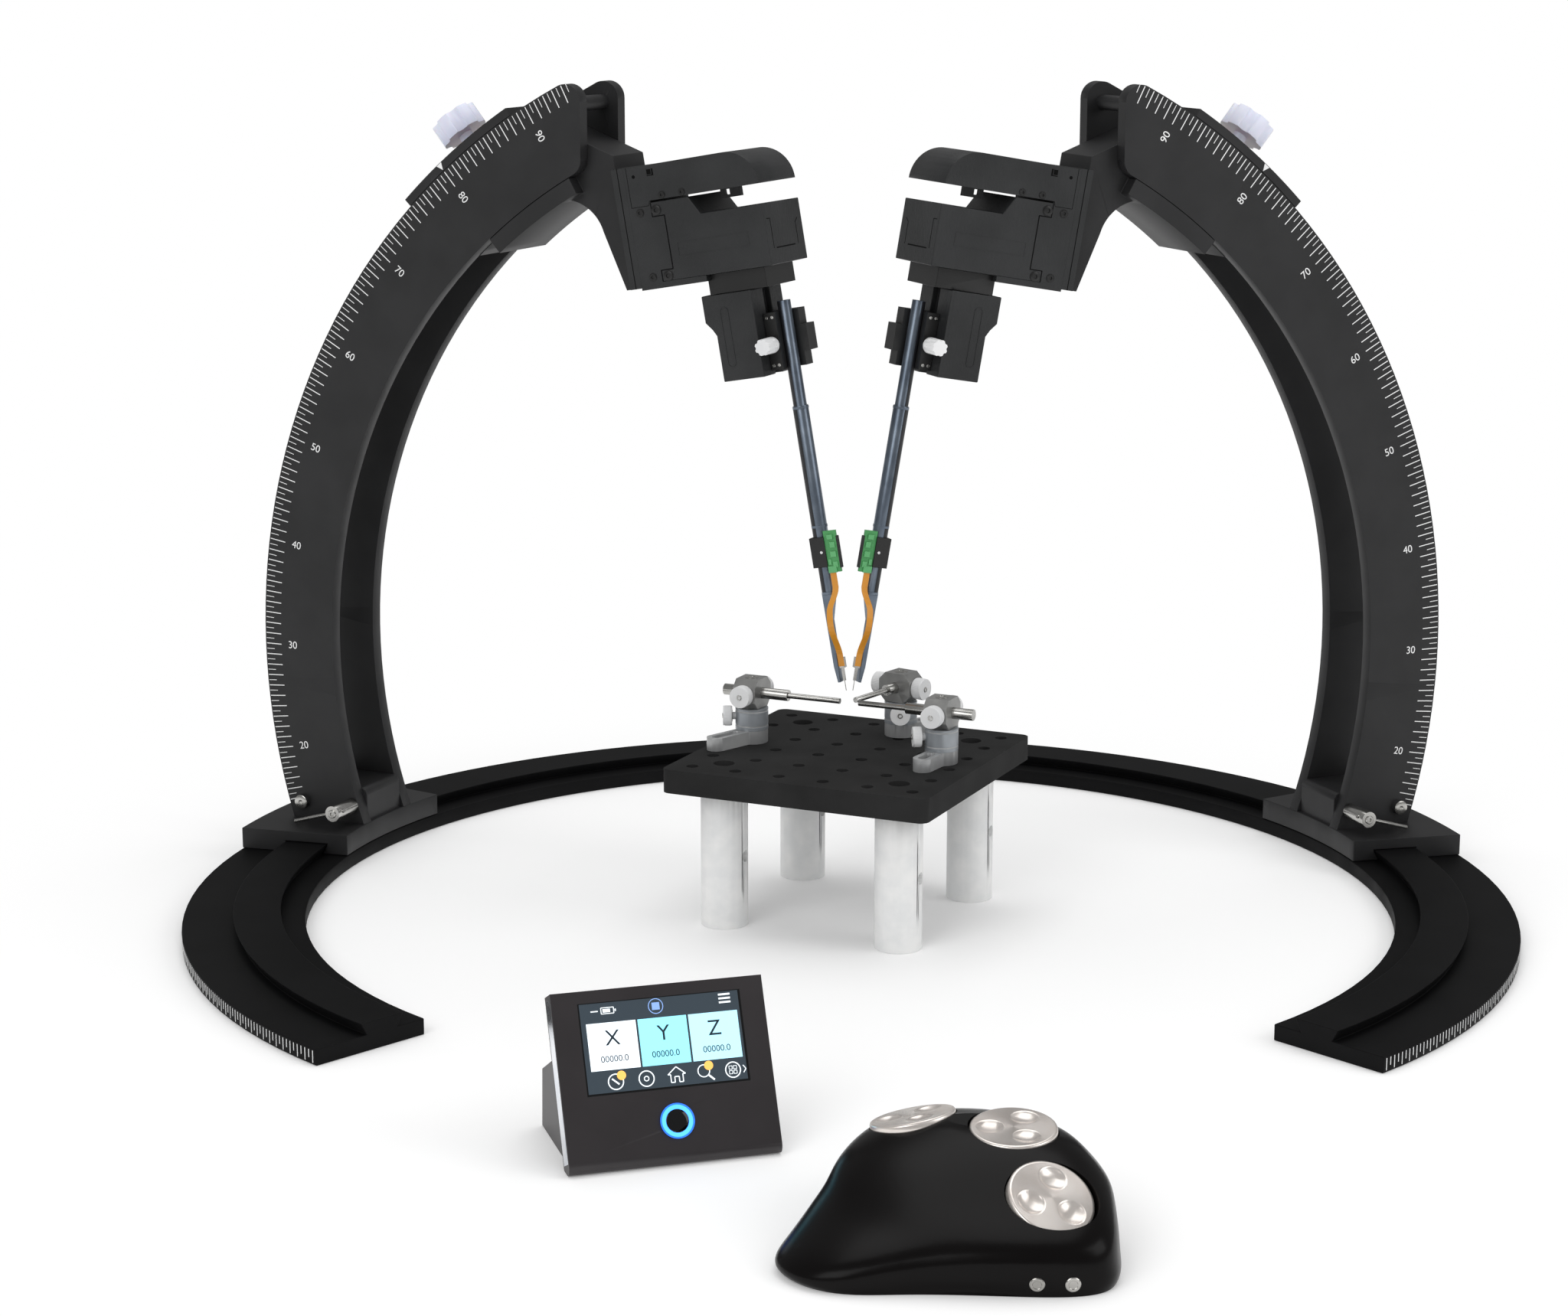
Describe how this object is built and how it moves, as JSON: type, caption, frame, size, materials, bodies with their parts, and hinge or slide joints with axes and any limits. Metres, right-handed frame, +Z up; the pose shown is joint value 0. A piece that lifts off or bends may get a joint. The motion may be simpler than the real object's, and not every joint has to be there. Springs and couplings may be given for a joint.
{
  "type": "micromanipulator",
  "caption": "Stereotaxic micromanipulator rig: open ring rail carrying arc arms with sliding probe heads over a pillar stage, with a touch unit and a dial unit beside it.",
  "frame": {"origin": "on the bench at the centre of the ring rail, under the target point of both arcs", "axes": "+Z up; +Y away from the operator, the ring opens towards -Y; X = 0 is the plane between the two mirrored arms"},
  "size_m": [0.7078, 0.8638, 0.4373],
  "materials": {
    "black_anodised": "satin black anodised",
    "black_anodised_arc": "satin black anodised, engraved white scale",
    "black_enamel": "black wrinkle enamel",
    "black_plastic": "moulded",
    "dial_steel": "faced on a lathe",
    "flex_board": "solder mask and ribbon",
    "gloss_black": "glossy moulded",
    "grey_metal": "satin grey anodised",
    "needle": "polished",
    "pale_plastic": "moulded",
    "rod_metal": "blue grey satin",
    "screen": "gloss black",
    "steel": "turned",
    "white_plastic": "moulded"
  },
  "bodies": {
    "bench": {"ring_rail": "black_anodised", "breadboard": "black_anodised", "stage_posts": "steel", "clamp_feet": "grey_metal"},
    "left_shoe": {"left_shoe": "black_anodised", "left_arc": "black_anodised_arc"},
    "left_lever": {"left_clamp_lever": "steel"},
    "left_carriage": {"left_saddle": "black_anodised", "left_bracket": "black_anodised", "left_adapter_plate": "black_enamel", "left_head_base": "black_enamel", "left_head_block": "black_enamel"},
    "left_star_knob": {"left_star_knob": "pale_plastic"},
    "left_cross_slide": {"left_cross_slide": "black_enamel"},
    "left_lower_head": {"left_lower_head": "black_enamel"},
    "left_probe_clamp": {"left_probe_clamp": "black_anodised"},
    "left_clamp_knob": {"left_clamp_knob": "white_plastic"},
    "left_rod": {"left_rod": "rod_metal", "left_probe_clip": "black_plastic", "left_probe_flex": "flex_board", "left_probe": "needle"},
    "right_shoe": {"right_shoe": "black_anodised", "right_arc": "black_anodised_arc"},
    "right_lever": {"right_clamp_lever": "steel"},
    "right_carriage": {"right_saddle": "black_anodised", "right_bracket": "black_anodised", "right_adapter_plate": "black_enamel", "right_head_base": "black_enamel", "right_head_block": "black_enamel"},
    "right_star_knob": {"right_star_knob": "pale_plastic"},
    "right_cross_slide": {"right_cross_slide": "black_enamel"},
    "right_lower_head": {"right_lower_head": "black_enamel"},
    "right_probe_clamp": {"right_probe_clamp": "black_anodised"},
    "right_clamp_knob": {"right_clamp_knob": "white_plastic"},
    "right_rod": {"right_rod": "rod_metal", "right_probe_clip": "black_plastic", "right_probe_flex": "flex_board", "right_probe": "needle"},
    "clamp_left_head": {"clamp_left_head": "grey_metal"},
    "clamp_left_bar": {"clamp_left_bar": "steel"},
    "clamp_left_knob_a": {"clamp_left_knob_a": "white_plastic"},
    "clamp_left_knob_b": {"clamp_left_knob_b": "white_plastic"},
    "clamp_left_collar_knob": {"clamp_left_collar_knob": "white_plastic"},
    "clamp_right_head": {"clamp_right_head": "grey_metal"},
    "clamp_right_bar": {"clamp_right_bar": "steel"},
    "clamp_right_knob_a": {"clamp_right_knob_a": "white_plastic"},
    "clamp_right_knob_b": {"clamp_right_knob_b": "white_plastic"},
    "clamp_right_collar_knob": {"clamp_right_collar_knob": "white_plastic"},
    "clamp_back_head": {"clamp_back_head": "grey_metal"},
    "clamp_back_bar": {"clamp_back_bar": "steel"},
    "clamp_back_knob_a": {"clamp_back_knob_a": "white_plastic"},
    "clamp_back_knob_b": {"clamp_back_knob_b": "white_plastic"},
    "clamp_back_collar_knob": {"clamp_back_collar_knob": "white_plastic"},
    "touch_unit": {"touch_shell": "black_plastic", "touch_screen": "screen"},
    "touch_button": {"touch_button": "black_plastic"},
    "dial_unit": {"dial_shell": "gloss_black"},
    "dial_front": {"dial_front": "dial_steel"},
    "dial_top": {"dial_top": "dial_steel"},
    "dial_side": {"dial_side": "dial_steel"}
  },
  "joints": [
    {"name": "left_azimuth", "type": "hinge", "parent": "bench", "child": "left_shoe", "pos_m": [0, 0, 0.014], "axis": [0, 0, 1], "range_deg": [-35, 59]},
    {"name": "left_rail_clamp", "type": "hinge", "parent": "left_shoe", "child": "left_lever", "pos_m": [-0.27258, 0.1192, 0.0303], "axis": [0.4007, 0.9162, 0], "range_deg": [0, 140]},
    {"name": "left_elevation", "type": "hinge", "parent": "left_shoe", "child": "left_carriage", "pos_m": [0, 0, 0.122], "axis": [0.4007, 0.9162, 0], "range_deg": [-60, 8]},
    {"name": "left_star_knob_turn", "type": "hinge", "parent": "left_carriage", "child": "left_star_knob", "pos_m": [-0.20921, 0.09149, 0.40804], "axis": [-0.5716, 0.25, 0.7815], "continuous": true},
    {"name": "left_inward_drive", "type": "slide", "parent": "left_carriage", "child": "left_cross_slide", "axis": [-0.9023, 0.3946, -0.1736], "range_m": [-0.0025, 0.0125]},
    {"name": "left_sideways_drive", "type": "slide", "parent": "left_cross_slide", "child": "left_lower_head", "axis": [-0.4007, -0.9162, 0], "range_m": [-0.006, 0.006]},
    {"name": "left_depth_drive", "type": "slide", "parent": "left_lower_head", "child": "left_probe_clamp", "axis": [-0.1591, 0.0696, 0.9848], "range_m": [-0.006, 0.008]},
    {"name": "left_clamp_knob_turn", "type": "hinge", "parent": "left_probe_clamp", "child": "left_clamp_knob", "pos_m": [-0.04119, 0.00382, 0.30496], "axis": [-0.4007, -0.9162, 0], "continuous": true},
    {"name": "left_probe_roll", "type": "hinge", "parent": "left_probe_clamp", "child": "left_rod", "pos_m": [-0.03192, 0.01396, 0.30574], "axis": [-0.1591, 0.0696, 0.9848], "range_deg": [-90, 90]},
    {"name": "right_azimuth", "type": "hinge", "parent": "bench", "child": "right_shoe", "pos_m": [0, 0, 0.014], "axis": [0, 0, 1], "range_deg": [-59, 35]},
    {"name": "right_rail_clamp", "type": "hinge", "parent": "right_shoe", "child": "right_lever", "pos_m": [0.27258, 0.1192, 0.0303], "axis": [0.4007, -0.9162, 0], "range_deg": [0, 140]},
    {"name": "right_elevation", "type": "hinge", "parent": "right_shoe", "child": "right_carriage", "pos_m": [0, 0, 0.122], "axis": [-0.4007, 0.9162, 0], "range_deg": [-8, 60]},
    {"name": "right_star_knob_turn", "type": "hinge", "parent": "right_carriage", "child": "right_star_knob", "pos_m": [0.20921, 0.09149, 0.40804], "axis": [0.5716, 0.25, 0.7815], "continuous": true},
    {"name": "right_inward_drive", "type": "slide", "parent": "right_carriage", "child": "right_cross_slide", "axis": [-0.9023, -0.3946, 0.1736], "range_m": [-0.0125, 0.0025]},
    {"name": "right_sideways_drive", "type": "slide", "parent": "right_cross_slide", "child": "right_lower_head", "axis": [-0.4007, 0.9162, 0], "range_m": [-0.006, 0.006]},
    {"name": "right_depth_drive", "type": "slide", "parent": "right_lower_head", "child": "right_probe_clamp", "axis": [-0.1591, -0.0696, -0.9848], "range_m": [-0.008, 0.006]},
    {"name": "right_clamp_knob_turn", "type": "hinge", "parent": "right_probe_clamp", "child": "right_clamp_knob", "pos_m": [0.04119, 0.00382, 0.30496], "axis": [0.4007, -0.9162, 0], "continuous": true},
    {"name": "right_probe_roll", "type": "hinge", "parent": "right_probe_clamp", "child": "right_rod", "pos_m": [0.03192, 0.01396, 0.30574], "axis": [0.1591, 0.0696, 0.9848], "range_deg": [-90, 90]},
    {"name": "clamp_left_swivel", "type": "hinge", "parent": "bench", "child": "clamp_left_head", "pos_m": [-0.05268, 0.02304, 0.1067], "axis": [0, 0, 1], "range_deg": [-12, 12]},
    {"name": "clamp_left_bar_slide", "type": "slide", "parent": "clamp_left_head", "child": "clamp_left_bar", "axis": [-0.9162, 0.4007, 0], "range_m": [0, 0.012]},
    {"name": "clamp_left_knob_a_turn", "type": "hinge", "parent": "clamp_left_head", "child": "clamp_left_knob_a", "pos_m": [-0.04856, 0.03248, 0.115], "axis": [0.4007, 0.9162, 0], "continuous": true},
    {"name": "clamp_left_knob_b_turn", "type": "hinge", "parent": "clamp_left_head", "child": "clamp_left_knob_b", "pos_m": [-0.05681, 0.0136, 0.115], "axis": [-0.4007, -0.9162, 0], "continuous": true},
    {"name": "clamp_left_collar_knob_turn", "type": "hinge", "parent": "bench", "child": "clamp_left_collar_knob", "pos_m": [-0.06343, 0.02304, 0.1017], "axis": [-1, 0.0003, 0], "continuous": true},
    {"name": "clamp_right_swivel", "type": "hinge", "parent": "bench", "child": "clamp_right_head", "pos_m": [0.04856, -0.02124, 0.1067], "axis": [0, 0, 1], "range_deg": [-12, 12]},
    {"name": "clamp_right_bar_slide", "type": "slide", "parent": "clamp_right_head", "child": "clamp_right_bar", "axis": [0.9162, -0.4007, 0], "range_m": [0, 0.012]},
    {"name": "clamp_right_knob_a_turn", "type": "hinge", "parent": "clamp_right_head", "child": "clamp_right_knob_a", "pos_m": [0.04443, -0.03067, 0.115], "axis": [-0.4007, -0.9162, 0], "continuous": true},
    {"name": "clamp_right_knob_b_turn", "type": "hinge", "parent": "clamp_right_head", "child": "clamp_right_knob_b", "pos_m": [0.05269, -0.0118, 0.115], "axis": [0.4007, 0.9162, 0], "continuous": true},
    {"name": "clamp_right_collar_knob_turn", "type": "hinge", "parent": "bench", "child": "clamp_right_collar_knob", "pos_m": [0.03785, -0.02217, 0.1017], "axis": [-0.9962, -0.0868, 0], "continuous": true},
    {"name": "clamp_back_swivel", "type": "hinge", "parent": "bench", "child": "clamp_back_head", "pos_m": [0.02796, 0.03902, 0.1067], "axis": [0, 0, 1], "range_deg": [-12, 12]},
    {"name": "clamp_back_bar_slide", "type": "slide", "parent": "clamp_back_head", "child": "clamp_back_bar", "axis": [0.5824, 0.8129, 0], "range_m": [0, 0.007]},
    {"name": "clamp_back_knob_a_turn", "type": "hinge", "parent": "clamp_back_head", "child": "clamp_back_knob_a", "pos_m": [0.03633, 0.03302, 0.115], "axis": [0.8129, -0.5824, 0], "continuous": true},
    {"name": "clamp_back_knob_b_turn", "type": "hinge", "parent": "clamp_back_head", "child": "clamp_back_knob_b", "pos_m": [0.01958, 0.04502, 0.115], "axis": [-0.8129, 0.5824, 0], "continuous": true},
    {"name": "clamp_back_collar_knob_turn", "type": "hinge", "parent": "bench", "child": "clamp_back_collar_knob", "pos_m": [0.02758, 0.02828, 0.1017], "axis": [-0.0352, -0.9994, 0], "continuous": true},
    {"name": "touch_unit_place", "type": "slide", "parent": "bench", "child": "touch_unit", "axis": [1, 0, 0], "range_m": [-0.06, 0.04]},
    {"name": "touch_button_press", "type": "slide", "parent": "touch_unit", "child": "touch_button", "axis": [-0.2792, 0.8543, -0.4384], "range_m": [0, 0.001], "stiffness_N_per_m": 600},
    {"name": "dial_unit_place", "type": "slide", "parent": "bench", "child": "dial_unit", "axis": [1, 0, 0], "range_m": [-0.05, 0.05]},
    {"name": "dial_front_turn", "type": "hinge", "parent": "dial_unit", "child": "dial_front", "pos_m": [0.0795, -0.4795, 0.0275], "axis": [0.2796, -0.4843, 0.829], "continuous": true},
    {"name": "dial_top_turn", "type": "hinge", "parent": "dial_unit", "child": "dial_top", "pos_m": [0.067, -0.4404, 0.041], "axis": [0, -0.1045, 0.9945], "continuous": true},
    {"name": "dial_side_turn", "type": "hinge", "parent": "dial_unit", "child": "dial_side", "pos_m": [0.027, -0.422, 0.0385], "axis": [-0.1953, 0.1698, 0.9659], "continuous": true}
  ]
}
